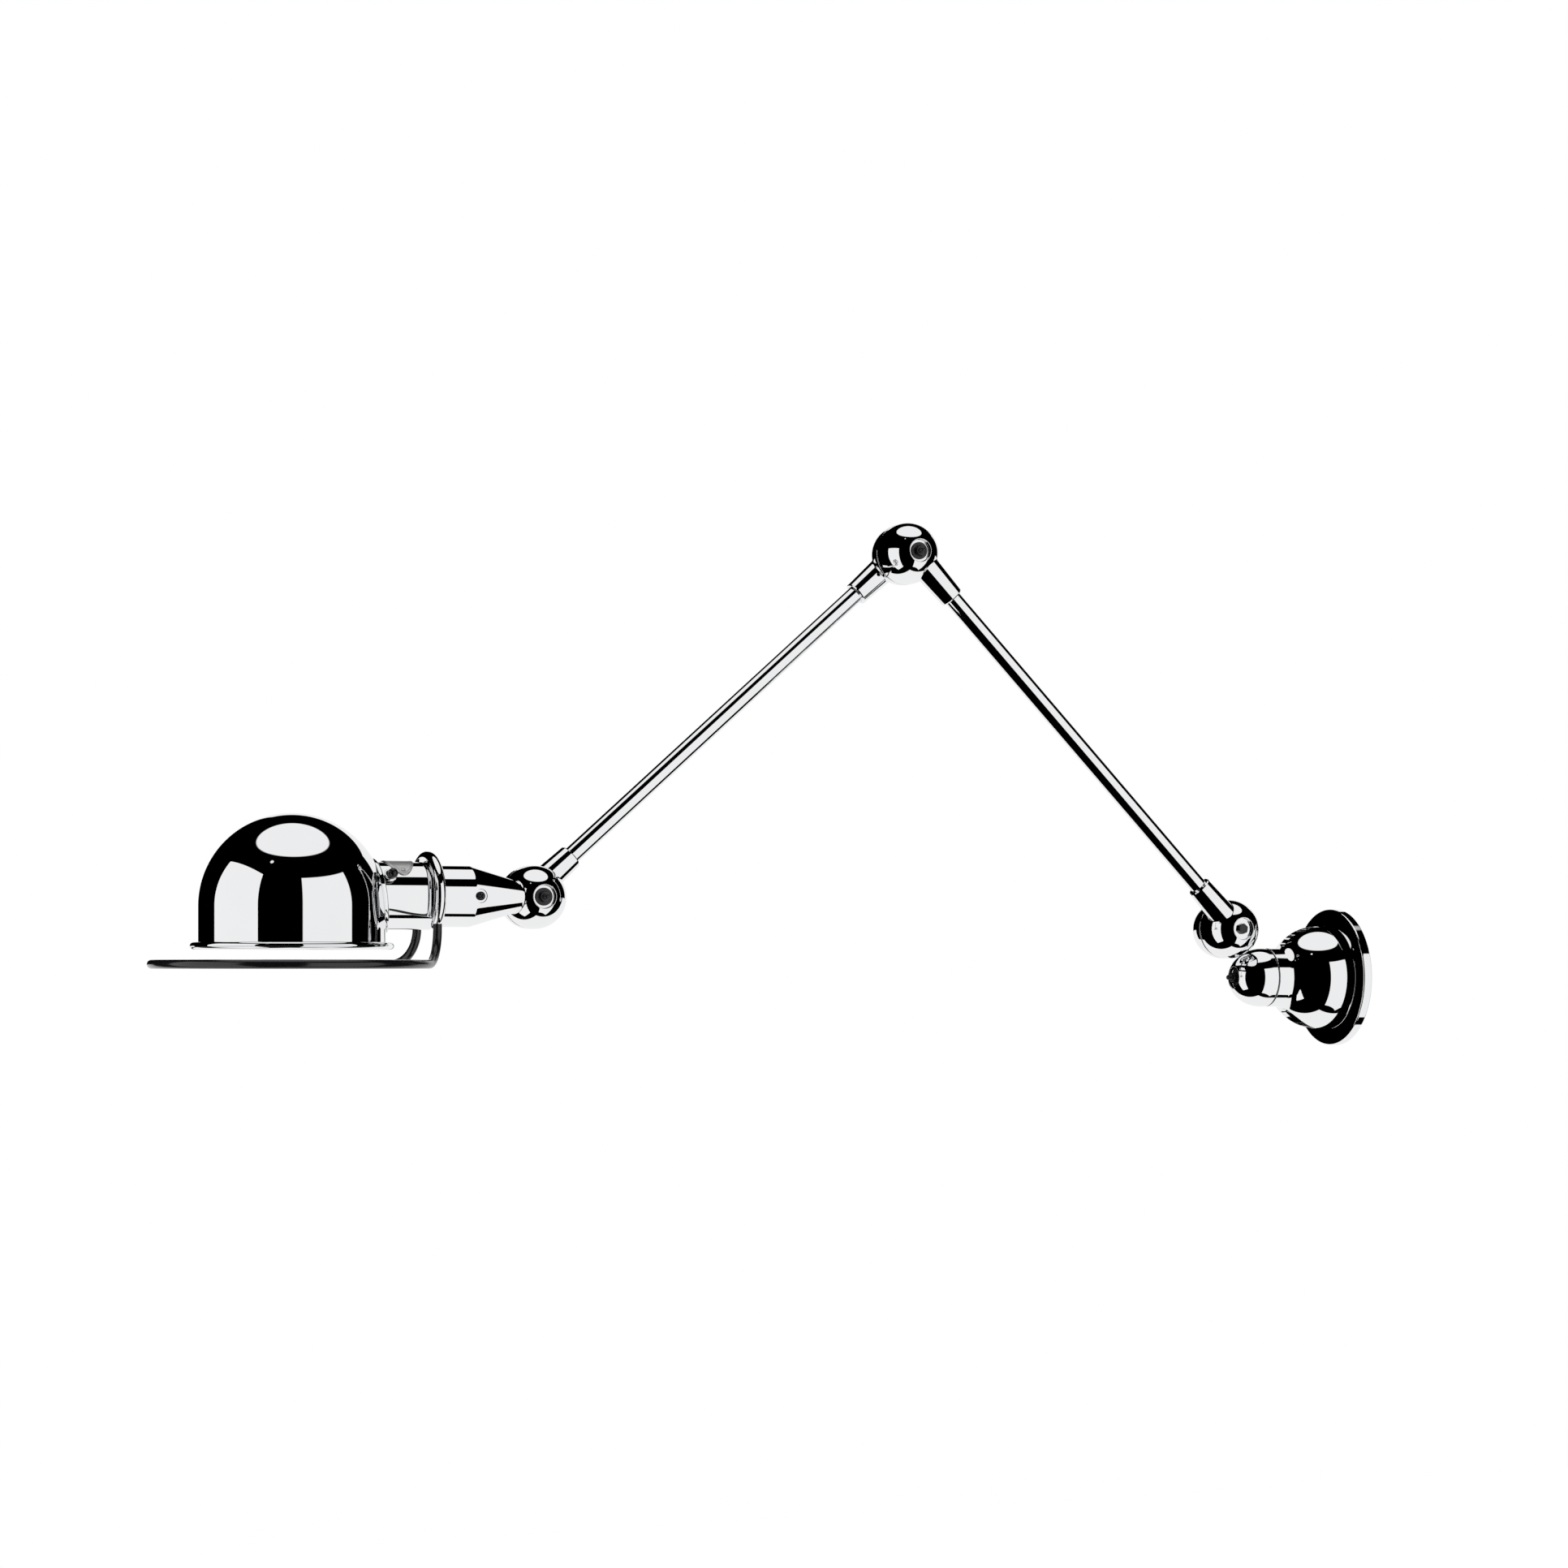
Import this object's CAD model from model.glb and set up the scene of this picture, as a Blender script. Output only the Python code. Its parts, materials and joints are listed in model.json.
# Wall lamp with two arms, in metres, with the wall at X = 0. Sizes in the sections are in millimetres.
import bpy
import bmesh
import json
import math
import numpy as np
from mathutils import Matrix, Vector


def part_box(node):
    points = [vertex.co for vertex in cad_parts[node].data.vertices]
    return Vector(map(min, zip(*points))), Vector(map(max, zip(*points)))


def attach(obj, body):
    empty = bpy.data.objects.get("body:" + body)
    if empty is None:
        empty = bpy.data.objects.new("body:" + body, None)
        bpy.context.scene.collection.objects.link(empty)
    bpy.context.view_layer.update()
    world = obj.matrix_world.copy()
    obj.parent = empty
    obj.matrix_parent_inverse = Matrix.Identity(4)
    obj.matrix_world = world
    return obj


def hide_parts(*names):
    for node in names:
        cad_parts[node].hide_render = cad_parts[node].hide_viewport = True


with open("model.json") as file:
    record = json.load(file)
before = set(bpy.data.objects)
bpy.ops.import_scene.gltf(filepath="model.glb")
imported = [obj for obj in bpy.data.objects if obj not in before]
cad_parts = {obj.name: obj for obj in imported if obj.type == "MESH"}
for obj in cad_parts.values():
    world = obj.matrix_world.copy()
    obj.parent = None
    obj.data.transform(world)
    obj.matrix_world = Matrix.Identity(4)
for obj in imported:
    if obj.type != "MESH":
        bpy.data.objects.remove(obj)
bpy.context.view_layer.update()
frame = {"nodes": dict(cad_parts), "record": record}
scene = bpy.context.scene
joint_at = {j["name"]: np.array(j["pos_m"]) * 1000 for j in frame["record"]["behaviour"]["joints"]}
swivel, shoulder, elbow, wrist = (joint_at[n] for n in ("wall_swivel", "shoulder", "elbow", "wrist"))


# ---- Camera ----
# A long lens level with the wall plate, turned so that the lamp's near side and its
# shade's front are both seen.
turn = math.radians(22.57)
look = np.array([math.sin(turn), math.cos(turn), 0])
side = np.array([math.cos(turn), -math.sin(turn), 0])
camera = bpy.data.objects.new("camera", bpy.data.cameras.new("camera"))
camera.data.lens = 83.45
camera.data.sensor_width = 36
camera.data.shift_y = 0.1144
camera.data.clip_start = 0.05
camera.location = (-1.1528, -1.9031, 0.0084)
camera.rotation_euler = (math.radians(90), 0, -turn)
scene.collection.objects.link(camera)
scene.camera = camera
scene.view_settings.view_transform = "Standard"


# ---- Studio ----
# White paper below and behind the lamp, a tall light box on each side in front of it, a round
# light and a small one overhead, and black cloth elsewhere. The camera sees plain white instead.
world = bpy.data.worlds.new("studio")
scene.world = world
world.use_nodes = True
tree = world.node_tree
tree.nodes.clear()


def sum_node(tree, operation, *values):
    """A Math node that does one operation on up to three numbers or sockets."""
    node = tree.nodes.new("ShaderNodeMath")
    node.operation = operation
    for socket, value in zip(node.inputs, values):
        if isinstance(value, (int, float)):
            socket.default_value = value
        else:
            tree.links.new(value, socket)
    return node.outputs[0]


def toward(tree, vector, direction):
    """The cosine between the looked-at direction and a fixed one."""
    node = tree.nodes.new("ShaderNodeVectorMath")
    node.operation = "DOT_PRODUCT"
    tree.links.new(vector, node.inputs[0])
    node.inputs[1].default_value = tuple(direction)
    return node.outputs["Value"]


def between(tree, value, low, high, edge):
    """1 where a value lies between low and high, with an edge that fades over a given width."""
    up = sum_node(tree, "DIVIDE", sum_node(tree, "SUBTRACT", value, low), edge)
    down = sum_node(tree, "DIVIDE", sum_node(tree, "SUBTRACT", high, value), edge)
    least = tree.nodes.new("ShaderNodeClamp")
    tree.links.new(sum_node(tree, "MINIMUM", up, down), least.inputs[0])
    return least.outputs[0]


direction = tree.nodes.new("ShaderNodeTexCoord").outputs["Generated"]
right = toward(tree, direction, side)
front = toward(tree, direction, -look)
up = toward(tree, direction, (0, 0, 1))
azimuth = sum_node(tree, "ARCTAN2", right, front)
height = sum_node(tree, "ARCSINE", up)
deg = math.pi / 180
soft = 0.8 * deg
light = sum_node(tree, "MULTIPLY", between(tree, azimuth, 20 * deg, 86 * deg, soft),
                 between(tree, height, -64 * deg, 34 * deg, soft))
overhead_dir = look * math.sin(3 * deg) + np.array([0, 0, math.cos(3 * deg)])
spot_az, spot_el = -29.6 * deg, 52.9 * deg
spot_dir = math.cos(spot_el) * (math.sin(spot_az) * side - math.cos(spot_az) * look)
spot_dir = spot_dir + np.array([0, 0, math.sin(spot_el)])
for lamp_dir, half_width, fade in ((overhead_dir, 31 * deg, 0.01), (spot_dir, 2.2 * deg, 0.0004)):
    disc = between(tree, toward(tree, direction, lamp_dir), math.cos(half_width), 2, fade)
    light = sum_node(tree, "MAXIMUM", light, disc)
# The paper behind the lamp rises to 26 degrees, and its near edge lies on the table just in front
behind = sum_node(tree, "ADD", between(tree, azimuth, 147 * deg, 4, soft),
                  between(tree, azimuth, -4, -166 * deg, soft))
paper = sum_node(tree, "MULTIPLY", behind, between(tree, height, -2, 26 * deg, soft))
down = sum_node(tree, "MAXIMUM", sum_node(tree, "MULTIPLY", up, -1), 0.001)
slant = sum_node(tree, "MAXIMUM", sum_node(tree, "MULTIPLY", right, 0.75),
                 sum_node(tree, "MULTIPLY", right, -1.1))
edge_line = sum_node(tree, "DIVIDE", sum_node(tree, "ADD", front, slant), down)
table = sum_node(tree, "MULTIPLY", between(tree, edge_line, -1e6, 0.24, 0.02),
                 between(tree, height, -2, -0.5 * deg, soft))
light = sum_node(tree, "MAXIMUM", light, sum_node(tree, "MAXIMUM", paper, table))
rays = tree.nodes.new("ShaderNodeLightPath")
boxes_seen = tree.nodes.new("ShaderNodeBackground")
boxes_seen.inputs["Color"].default_value = (1, 1, 1, 1)
tree.links.new(sum_node(tree, "MULTIPLY", light, 0.9), boxes_seen.inputs["Strength"])
white = tree.nodes.new("ShaderNodeBackground")
white.inputs["Color"].default_value = (1, 1, 1, 1)
mix = tree.nodes.new("ShaderNodeMixShader")
tree.links.new(rays.outputs["Is Camera Ray"], mix.inputs[0])
tree.links.new(boxes_seen.outputs[0], mix.inputs[1])
tree.links.new(white.outputs[0], mix.inputs[2])
tree.links.new(mix.outputs[0], tree.nodes.new("ShaderNodeOutputWorld").inputs[0])


def glowing(name, corners, finish_name, colour, strength):
    """A flat sheet that gives off an even white light."""
    mesh = bpy.data.meshes.new(name)
    mesh.from_pydata(corners, [], [(0, 1, 2, 3)])
    material = bpy.data.materials.new(finish_name)
    material.use_nodes = True
    shader = material.node_tree.nodes["Principled BSDF"]
    shader.inputs["Base Color"].default_value = colour
    shader.inputs["Emission Color"].default_value = (1, 1, 1, 1)
    shader.inputs["Emission Strength"].default_value = strength
    mesh.materials.append(material)
    sheet = bpy.data.objects.new(name, mesh)
    scene.collection.objects.link(sheet)
    return sheet


floor_z, floor_half = -1.3, 6
floor_corners = [(x * floor_half, y * floor_half, floor_z) for x, y in ((-1, -1), (1, -1), (1, 1), (-1, 1))]
floor = glowing("floor", floor_corners, "paper_white", (1, 1, 1, 1), 1)
for seen in ("visible_glossy", "visible_diffuse", "visible_shadow"):
    setattr(floor, seen, False)

# The second tall light stands close to the lamp, so it shows at a different place in each part
near_edge, far_edge, light_low, light_top = (-1.146, -0.3525), (-1.163, 0.296), -1.2, 0.46
near_light = glowing("near_light", [(*near_edge, light_low), (*far_edge, light_low), (*far_edge, light_top),
                                    (*near_edge, light_top)], "light_face", (0, 0, 0, 1), 0.9)
near_light.visible_camera = False


# ---- Wall plate ----
# A round pressed steel cover, chromed, that hides the bracket. It is turned over at the rim,
# and the bell's two screws hold it against the wall.
def chrome_finish(name, colour, roughness):
    """Polished plating: faint patches of haze and a very fine polishing grain change its roughness."""
    material = bpy.data.materials.new(name)
    material.use_nodes = True
    nodes, links = material.node_tree.nodes, material.node_tree.links
    shader = nodes["Principled BSDF"]
    shader.inputs["Metallic"].default_value = 1
    place = nodes.new("ShaderNodeTexCoord")
    haze = nodes.new("ShaderNodeTexNoise")
    haze.inputs["Scale"].default_value = 60
    haze.inputs["Detail"].default_value = 5
    links.new(place.outputs["Object"], haze.inputs["Vector"])
    spread = nodes.new("ShaderNodeMapRange")
    spread.inputs["From Min"].default_value = 0.35
    spread.inputs["From Max"].default_value = 0.75
    spread.inputs["To Min"].default_value = roughness
    spread.inputs["To Max"].default_value = roughness * 1.8
    links.new(haze.outputs["Fac"], spread.inputs["Value"])
    links.new(spread.outputs[0], shader.inputs["Roughness"])
    tint = nodes.new("ShaderNodeValToRGB")
    tint.color_ramp.elements[0].color = (*[c * 0.97 for c in colour], 1)
    tint.color_ramp.elements[1].color = (*colour, 1)
    links.new(haze.outputs["Fac"], tint.inputs[0])
    links.new(tint.outputs[0], shader.inputs["Base Color"])
    grain = nodes.new("ShaderNodeTexNoise")
    grain.inputs["Scale"].default_value = 900
    grain.inputs["Detail"].default_value = 3
    links.new(place.outputs["Object"], grain.inputs["Vector"])
    bump = nodes.new("ShaderNodeBump")
    bump.inputs["Strength"].default_value = 0.02
    bump.inputs["Distance"].default_value = 0.000005
    links.new(grain.outputs["Fac"], bump.inputs["Height"])
    links.new(bump.outputs[0], shader.inputs["Normal"])
    return material


chrome = chrome_finish("chrome", (0.94, 0.945, 0.955), 0.012)


def rounded(points, radii, steps=6):
    """A profile whose corners become arcs: each arc touches both sides of its corner, and its centre is
    on the corner's bisector at radius / sin(half the corner's angle)."""
    points = [np.array(p, float) for p in points]
    line = [points[0][None]]
    for before, corner, after, radius in zip(points, points[1:], points[2:], radii):
        a = (before - corner) / np.linalg.norm(before - corner)
        b = (after - corner) / np.linalg.norm(after - corner)
        half = math.acos(np.clip(a @ b, -1, 1)) / 2
        if radius == 0 or half > 1.55:
            line.append(corner[None])
            continue
        centre = corner + (a + b) / np.linalg.norm(a + b) * radius / math.sin(half)
        first, last = corner + a * radius / math.tan(half), corner + b * radius / math.tan(half)
        start = math.atan2(*(first - centre)[::-1])
        sweep = (math.atan2(*(last - centre)[::-1]) - start + math.pi) % (2 * math.pi) - math.pi
        angle = start + sweep * np.linspace(0, 1, steps + 1)
        hold = radius * 0.3
        line.append((first + a * hold)[None])
        line.append(centre + radius * np.stack([np.cos(angle), np.sin(angle)], 1))
        line.append((last + b * hold)[None])
    line.append(points[-1][None])
    return np.concatenate(line)


def square_to(axis):
    """An axis as a unit vector, and two unit vectors square to it and to each other."""
    axis = np.asarray(axis, float)
    axis = axis / np.linalg.norm(axis)
    across = np.cross(axis, (0.31, 0.92, 0.24))
    across /= np.linalg.norm(across)
    return axis, across, np.cross(axis, across)


def turned(profile, at, axis, steps=192):
    """A surface of revolution: each profile entry is a distance along the axis and a radius."""
    profile = np.asarray(profile, float)
    axis, across, third = square_to(axis)
    angle = np.linspace(0, 2 * np.pi, steps, endpoint=False)
    ring = np.cos(angle)[:, None] * across + np.sin(angle)[:, None] * third
    return np.asarray(at) + profile[:, 0, None, None] * axis + profile[:, 1, None, None] * ring


def built(name, grids, sharp=32):
    """One mesh from grids of points in millimetres, each joined round its second direction, poles sewn."""
    starts, corners, faces = 0, [], []
    for grid in grids:
        rows, cols = grid.shape[:2]
        index = starts + np.arange(rows * cols).reshape(rows, cols)
        following = np.roll(index, -1, axis=1)
        quads = np.stack([index[:-1], index[1:], following[1:], following[:-1]], -1)
        corners.append(grid.reshape(-1, 3) / 1000)
        faces.append(quads.reshape(-1, 4))
        starts += rows * cols
    corners, faces = np.concatenate(corners), np.concatenate(faces)
    mesh = bpy.data.meshes.new(name)
    mesh.vertices.add(len(corners))
    mesh.vertices.foreach_set("co", corners.astype(np.float32).ravel())
    mesh.loops.add(faces.size)
    mesh.loops.foreach_set("vertex_index", faces.astype(np.int32).ravel())
    mesh.polygons.add(len(faces))
    mesh.polygons.foreach_set("loop_start", np.arange(0, faces.size, 4, dtype=np.int32))
    mesh.update(calc_edges=True)
    sewn = bmesh.new()
    sewn.from_mesh(mesh)
    bmesh.ops.remove_doubles(sewn, verts=sewn.verts, dist=2e-7)
    bmesh.ops.dissolve_degenerate(sewn, edges=sewn.edges, dist=1e-8)
    bmesh.ops.recalc_face_normals(sewn, faces=sewn.faces)
    sewn.to_mesh(mesh)
    sewn.free()
    mesh.shade_smooth()
    mesh.set_sharp_from_angle(angle=math.radians(sharp))
    piece = bpy.data.objects.new(name, mesh)
    scene.collection.objects.link(piece)
    return piece


def fitted(piece, body, slot, material, *nodes):
    """Gives a piece its finish and its body, and puts it in the place of the plain solids."""
    if not piece.data.materials:
        piece.data.materials.append(material)
    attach(piece, body)
    if nodes:
        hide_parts(*nodes)
    return piece


def without(piece, *tools, sharp=32):
    """Cuts the tools' shapes out of a piece and removes them."""
    for tool in tools:
        cut = piece.modifiers.new("cut", "BOOLEAN")
        cut.operation = "DIFFERENCE"
        cut.solver = "EXACT"
        cut.object = tool
    now = bpy.context.evaluated_depsgraph_get()
    mesh = bpy.data.meshes.new_from_object(piece.evaluated_get(now))
    piece.modifiers.clear()
    piece.data = mesh
    mesh.shade_smooth()
    mesh.set_sharp_from_angle(angle=math.radians(sharp))
    for tool in tools:
        bpy.data.objects.remove(tool)
    return piece


def with_surface(piece, other, sharp=32):
    """Adds another piece's surface to a piece's mesh and removes the other."""
    both = bmesh.new()
    both.from_mesh(piece.data)
    both.from_mesh(other.data)
    both.to_mesh(piece.data)
    both.free()
    bpy.data.objects.remove(other)
    piece.data.shade_smooth()
    piece.data.set_sharp_from_angle(angle=math.radians(sharp))
    return piece


out = (-1, 0, 0)
wall = (0, 0, 0)
plate_r, plate_t, plate_in_r, plate_in_z, plate_hole_r = 41, 5.5, 39.2, 3.9, 17
plate_line = rounded([(plate_in_z, plate_hole_r), (plate_in_z, plate_in_r), (0, plate_in_r), (0, plate_r),
                      (plate_t, plate_r), (plate_t, plate_hole_r), (plate_in_z, plate_hole_r)],
                     [1.2, 0.3, 0.4, 0.9, 0.3], 7)
fitted(built("wall_plate_cover", [turned(plate_line, wall, out, 224)]),
       "wall_base", "chromed_metal", chrome, "wall_plate")


# ---- Bell ----
# A chromed brass casting like a bell, hollow for the wiring. Two screws in open pockets at its top
# and bottom pull it and the plate against the bracket, and its mouth is the first joint's fixed half.
bell_r, bell_in_r, bell_z, reach, joint_r = 31, 29, 12.5, -swivel[0], 17.5
hollow_r, disc_seat_r, wall_in_r = 7, 14.1, 13.2
web_z, web_back_z = reach - 13.6, reach - 16.8
curve_x = joint_r + hollow_r
curve_z = bell_z + math.sqrt((bell_r + hollow_r) ** 2 - curve_x ** 2)
meet = math.atan2(curve_z - bell_z, curve_x)
dome_a = np.linspace(0, meet, 40)
back_a = np.linspace(math.pi * 2 - (math.pi - meet), math.pi, 20)
skirt = np.array([[plate_t, bell_in_r], [plate_t, bell_r - 0.35], [plate_t + 0.1, bell_r - 0.1],
                  [plate_t + 0.35, bell_r], [plate_t + 2, bell_r], [plate_t + 5, bell_r]])
shell = np.stack([bell_z + bell_r * np.sin(dome_a), bell_r * np.cos(dome_a)], 1)
curve = np.stack([curve_z + hollow_r * np.sin(back_a), curve_x + hollow_r * np.cos(back_a)], 1)
mouth = rounded([curve[-1], (reach - 0.4, joint_r), (reach - 0.4, disc_seat_r), (reach - 4.2, disc_seat_r),
                 (reach - 4.2, wall_in_r), (web_z, wall_in_r), (web_z, 0)], [0.25, 0.1, 0, 0, 0])
inner_a = np.linspace(math.asin((web_back_z - bell_z) / bell_in_r), 0, 24)
inner = np.stack([bell_z + bell_in_r * np.sin(inner_a), bell_in_r * np.cos(inner_a)], 1)
bell_outside = np.concatenate([skirt, shell, curve[1:-1], mouth])
bell_inside = np.concatenate([[[web_back_z, 0]], inner, [[plate_t, bell_in_r]]])
bell = built("bell", [turned(bell_outside, wall, out, 256), turned(bell_inside, wall, out, 256)])
pocket_r, pocket_floor, screw_off = 6.6, plate_t + 4.5, 25
pocket_line = rounded([(pocket_floor, 0), (pocket_floor, pocket_r), (60, pocket_r), (60, 0)], [0.3, 0])
pockets = [built("pocket", [turned(pocket_line, (0, 0, s * screw_off), out, 96)]) for s in (-1, 1)]
bell = without(bell, *pockets)
fitted(bell, "wall_base", "chromed_metal", chrome, "base_bell")


# ---- Bell screws ----
# Two 4 mm cross-head screws, blackened steel, standing on the floors of the bell's pockets.
def steel_finish(name, colour, roughness, metallic=0.85, scale=400):
    """Bare or blackened steel: fine mottling in the colour and brightness of its grain."""
    material = bpy.data.materials.new(name)
    material.use_nodes = True
    nodes, links = material.node_tree.nodes, material.node_tree.links
    shader = nodes["Principled BSDF"]
    shader.inputs["Metallic"].default_value = metallic
    place = nodes.new("ShaderNodeTexCoord")
    mottle = nodes.new("ShaderNodeTexNoise")
    mottle.inputs["Scale"].default_value = scale
    mottle.inputs["Detail"].default_value = 6
    links.new(place.outputs["Object"], mottle.inputs["Vector"])
    tint = nodes.new("ShaderNodeValToRGB")
    tint.color_ramp.elements[0].position, tint.color_ramp.elements[1].position = 0.3, 0.7
    tint.color_ramp.elements[0].color = (*[c * 0.7 for c in colour], 1)
    tint.color_ramp.elements[1].color = (*[min(1, c * 1.25) for c in colour], 1)
    links.new(mottle.outputs["Fac"], tint.inputs[0])
    links.new(tint.outputs[0], shader.inputs["Base Color"])
    spread = nodes.new("ShaderNodeMapRange")
    spread.inputs["To Min"].default_value = roughness * 0.8
    spread.inputs["To Max"].default_value = roughness * 1.3
    links.new(mottle.outputs["Fac"], spread.inputs["Value"])
    links.new(spread.outputs[0], shader.inputs["Roughness"])
    bump = nodes.new("ShaderNodeBump")
    bump.inputs["Strength"].default_value = 0.15
    bump.inputs["Distance"].default_value = 0.00003
    links.new(mottle.outputs["Fac"], bump.inputs["Height"])
    links.new(bump.outputs[0], shader.inputs["Normal"])
    return material


blackened = steel_finish("blackened_steel", (0.055, 0.055, 0.058), 0.36)


def cross_screw(at, axis, head_r, head_h, shank_r, shank_l, slot_w, slot_l):
    """A domed head on a polar grid, h = head_h (1 - 0.35 (r / R) squared), sunk by a cross whose arms
    fade at their sides and ends, above a plain shank."""
    axis, e1, e2 = square_to(axis)
    r, a = np.meshgrid(np.linspace(0, 1, 44) ** 0.9 * head_r, np.linspace(0, 2 * np.pi, 96, endpoint=False),
                       indexing="ij")
    x, y = np.abs(r * np.cos(a)), np.abs(r * np.sin(a))

    def arm(p, q):
        return np.clip((slot_w / 2 - p) / 0.12 + 0.5, 0, 1) * np.clip((slot_l / 2 - q) / 0.25 + 0.5, 0, 1)

    dome = head_h * (1 - 0.35 * (r / head_r) ** 2)
    dome = dome - np.maximum(arm(x, y), arm(y, x)) * head_h * 0.75
    flat = (r * np.cos(a))[..., None] * e1 + (r * np.sin(a))[..., None] * e2
    top = np.asarray(at) + dome[..., None] * axis + flat
    ring = np.cos(a[0])[:, None] * e1 + np.sin(a[0])[:, None] * e2
    under = np.array([[head_h * 0.6, head_r], [0.1, head_r], [0, head_r - 0.1], [0, shank_r], [-shank_l, shank_r],
                      [-shank_l, 0]])
    under = np.asarray(at) + under[:, 0, None, None] * axis + under[:, 1, None, None] * ring
    return np.concatenate([top, under])


screws = [cross_screw((-pocket_floor, 0, s * screw_off), out, head_r=4, head_h=2.8, shank_r=1.95, shank_l=9.4,
                      slot_w=1.0, slot_l=4.6) for s in (-1, 1)]
fitted(built("bell_screws_pair", screws, sharp=40), "wall_base", "blackened_steel", blackened, "bell_screws")


# ---- Round joints and castings ----
# Every joint is a chromed casting in two halves, each a short cylinder that rounds over to a
# recess for the bolt. Arm sleeves and the knuckle's neck grow out of them with a small fillet.
near, far = (0, -1, 0), (0, 1, 0)
straight, depth, recess_r, recess_floor, bolt_hole_r = 3, 20, 6.4, 19.2, 1.6


def joint_half():
    """Closed outline of one half: r = R cos a, z = straight + depth sin a between its face and its recess."""
    last = math.acos(recess_r / joint_r)
    a = np.linspace(0, last - 0.03, 48)
    shell = np.stack([straight + depth * np.sin(a), joint_r * np.cos(a)], 1)
    face = rounded([(4.2, disc_seat_r), (0.4, disc_seat_r), (0.4, joint_r), (straight, joint_r)], [0.15, 0.3])
    lip_z = straight + depth * math.sin(last)
    lip = rounded([shell[-1], (lip_z, recess_r), (recess_floor, recess_r), (recess_floor, bolt_hole_r)],
                  [0.25, 0.25], 5)
    inside = [(16, bolt_hole_r), (16, 8.2), (13, 11.2), (8.2, wall_in_r), (4.2, wall_in_r), (4.2, disc_seat_r)]
    return np.concatenate([face, shell[1:], lip[1:], np.array(inside)])


def outside(point, at, axis):
    """How far points stand outside a half: from its cylinder below the straight part, else from the
    nearest point of its ellipse, found by halving the angle's range. Also gives that nearest point."""
    axis = np.asarray(axis, float)
    z = (point - at) @ axis
    flat = point - at - z[..., None] * axis
    r = np.linalg.norm(flat, axis=-1)
    ring = flat / r[..., None]
    low, high = np.zeros_like(r), np.full_like(r, np.pi / 2)
    for _ in range(40):
        a = (low + high) / 2
        slope = (depth ** 2 - joint_r ** 2) * np.sin(a) * np.cos(a) + joint_r * r * np.sin(a)
        slope = slope - depth * (z - straight) * np.cos(a)
        low, high = np.where(slope < 0, a, low), np.where(slope < 0, high, a)
    a = np.where(z < straight, 0, (low + high) / 2)
    foot_z = np.where(z < straight, z, straight + depth * np.sin(a))
    nearest = at + foot_z[..., None] * axis + (joint_r * np.cos(a))[..., None] * ring
    gap = point - nearest
    size = np.linalg.norm(gap, axis=-1)
    inward = (r ** 2 / joint_r ** 2 + np.maximum(z - straight, 0) ** 2 / depth ** 2) < 1
    return np.where(inward, -size, size), nearest


def rooted(at, axis, start, along, radius, fillet, steps=96):
    """A round arm's root on a joint half. A ball of the fillet's radius rolls in the corner: for each
    angle round the arm its centre is where it touches both, and the fillet is the arc between the two
    touching points. Gives the root's rings and how far along the arm they end."""
    along = np.asarray(along, float)
    e1 = np.cross(along, axis)
    e1 /= np.linalg.norm(e1)
    e2 = np.cross(along, e1)
    v = np.linspace(0, 2 * np.pi, steps, endpoint=False)
    n = np.cos(v)[:, None] * e1 + np.sin(v)[:, None] * e2
    low, high = np.full(steps, 4.0), np.full(steps, 34.0)
    for _ in range(40):
        t = (low + high) / 2
        centre = start + t[:, None] * along + (radius(t) + fillet)[:, None] * n
        far_off = outside(centre, at, axis)[0] > fillet
        low, high = np.where(far_off, low, t), np.where(far_off, t, high)
    touch = (outside(centre, at, axis)[1] - centre) / fillet
    angle = np.arccos(np.clip(np.sum(touch * -n, -1), -1, 1))[:, None]
    rows = [np.broadcast_to(start, n.shape), start + 6 * along + radius(6.0) * n * 0.9,
            centre + fillet * touch + 0.4 * touch]
    rows += [centre + fillet * (np.sin((1 - s) * angle) * touch + np.sin(s * angle) * -n) / np.sin(angle)
             for s in np.linspace(0, 1, 8)]
    return np.stack(rows), n, t


tube_r, tube_in_r, tube_start, mouth_at = 5, 3.8, 17, 35


def sleeve_line(t):
    """The sleeve's radius: 8 mm at 10 mm from the joint's axis, and 7 mm at its lip."""
    return 8 - (np.asarray(t) - 10) / 24.4


def sleeve(at, axis, start, along):
    """An arm's tapered sleeve, from its fillet on the joint to its lipped mouth and back down its bore."""
    rows, n, t = rooted(at, axis, start, along, sleeve_line, 1.0)
    along = np.asarray(along, float)
    lip_at, bore_r = mouth_at - 1.0, tube_r + 0.05
    s = np.linspace(0.03, 1, 12)[:, None]
    reach_t = t + (lip_at - t) * s
    body = start + reach_t[..., None] * along + sleeve_line(reach_t)[..., None] * n
    lip = rounded([(lip_at, sleeve_line(lip_at)), (lip_at + 0.4, 7.0), (mouth_at, 6.55), (mouth_at, bore_r),
                   (tube_start, bore_r), (tube_start, 0)], [0.15, 0.12, 0.1, 0], 4)
    lip = start + lip[1:, 0, None, None] * along + lip[1:, 1, None, None] * n
    return np.concatenate([rows, body, lip])


def arm_direction(a, b):
    """The unit vector from one joint to another, square to the joints' axes."""
    d = (b - a) * np.array([1, 0, 1])
    return d / np.linalg.norm(d)


def axis_line(node, joint):
    """A joint's centre, moved along Y onto the middle of a node."""
    low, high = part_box(node)
    return np.array([joint[0], (low[1] + high[1]) * 500, joint[2]])


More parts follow.
